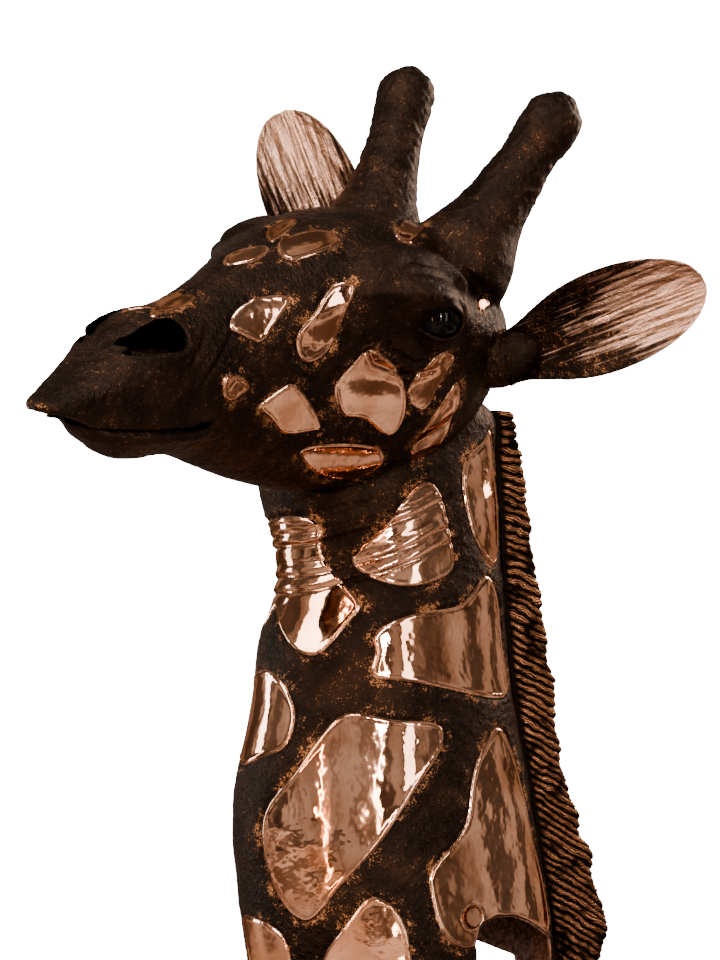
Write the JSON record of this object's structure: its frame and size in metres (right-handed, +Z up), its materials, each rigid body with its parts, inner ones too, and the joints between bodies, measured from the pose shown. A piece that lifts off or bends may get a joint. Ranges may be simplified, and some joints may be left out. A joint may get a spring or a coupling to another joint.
{
  "type": "giraffe bust statue",
  "caption": "Life-size giraffe head and neck statue in dark bronze with mirror-polished spots, ears, ossicones, glass eyes and a ridged mane, standing on a base plate.",
  "frame": {"origin": "centre of width on the base plate's underside, under the neck", "axes": "+Z up; the neck's front faces -Y; +X is the giraffe's left"},
  "size_m": [0.4898, 0.7207, 0.9481],
  "materials": {
    "dark_bronze": "dark brown patina, stippled, rubbed at the edges",
    "polished_bronze": "mirror polished red bronze",
    "mane_bronze": "dark patina with burnished ridges",
    "ear_bronze": "half polished, half dark patina",
    "eye_glass": "glossy black",
    "frame_steel": "plain welded steel",
    "base_bronze": "dark brown patina, satin"
  },
  "bodies": {
    "root": {"base_plate": "base_bronze", "ear_left": "ear_bronze", "ear_right": "ear_bronze", "eye_left": "eye_glass", "eye_right": "eye_glass", "foot_bolts": "frame_steel", "frame": "frame_steel", "head_shell": "dark_bronze", "lower_lip": "dark_bronze", "mane_1": "mane_bronze", "mane_2": "mane_bronze", "mane_3": "mane_bronze", "mane_4": "mane_bronze", "neck_lower_left": "dark_bronze", "neck_lower_right": "dark_bronze", "neck_upper_left": "dark_bronze", "neck_upper_right": "dark_bronze", "ossicone_left": "dark_bronze", "ossicone_right": "dark_bronze", "panel_bottom_front": "polished_bronze", "panel_bottom_mid": "polished_bronze", "panel_brow_far": "polished_bronze", "panel_cheek_back_left": "polished_bronze", "panel_cheek_back_right": "polished_bronze", "panel_cheek_front_left": "polished_bronze", "panel_cheek_front_right": "polished_bronze", "panel_cheek_leaf_left": "polished_bronze", "panel_cheek_leaf_right": "polished_bronze", "panel_cheek_low_left": "polished_bronze", "panel_cheek_low_right": "polished_bronze", "panel_cheek_slot_left": "polished_bronze", "panel_cheek_slot_right": "polished_bronze", "panel_crown": "polished_bronze", "panel_flank_left": "polished_bronze", "panel_flank_right": "polished_bronze", "panel_forehead": "polished_bronze", "panel_front_high_left": "polished_bronze", "panel_front_high_right": "polished_bronze", "panel_jaw_left": "polished_bronze", "panel_jaw_right": "polished_bronze", "panel_lip_spot": "polished_bronze", "panel_nape_left": "polished_bronze", "panel_nape_right": "polished_bronze", "panel_nose_bridge": "polished_bronze", "panel_nose_side_left": "polished_bronze", "panel_nose_side_right": "polished_bronze", "panel_nose_top_left": "polished_bronze", "panel_nose_top_right": "polished_bronze", "panel_rear_low_left": "polished_bronze", "panel_rear_low_right": "polished_bronze", "panel_shoulder_high_left": "polished_bronze", "panel_shoulder_high_right": "polished_bronze", "panel_temple": "polished_bronze", "panel_throat_back_left": "polished_bronze", "panel_throat_back_right": "polished_bronze", "panel_throat_front_left": "polished_bronze", "panel_throat_front_right": "polished_bronze", "side_bolts": "polished_bronze"}
  },
  "joints": []
}
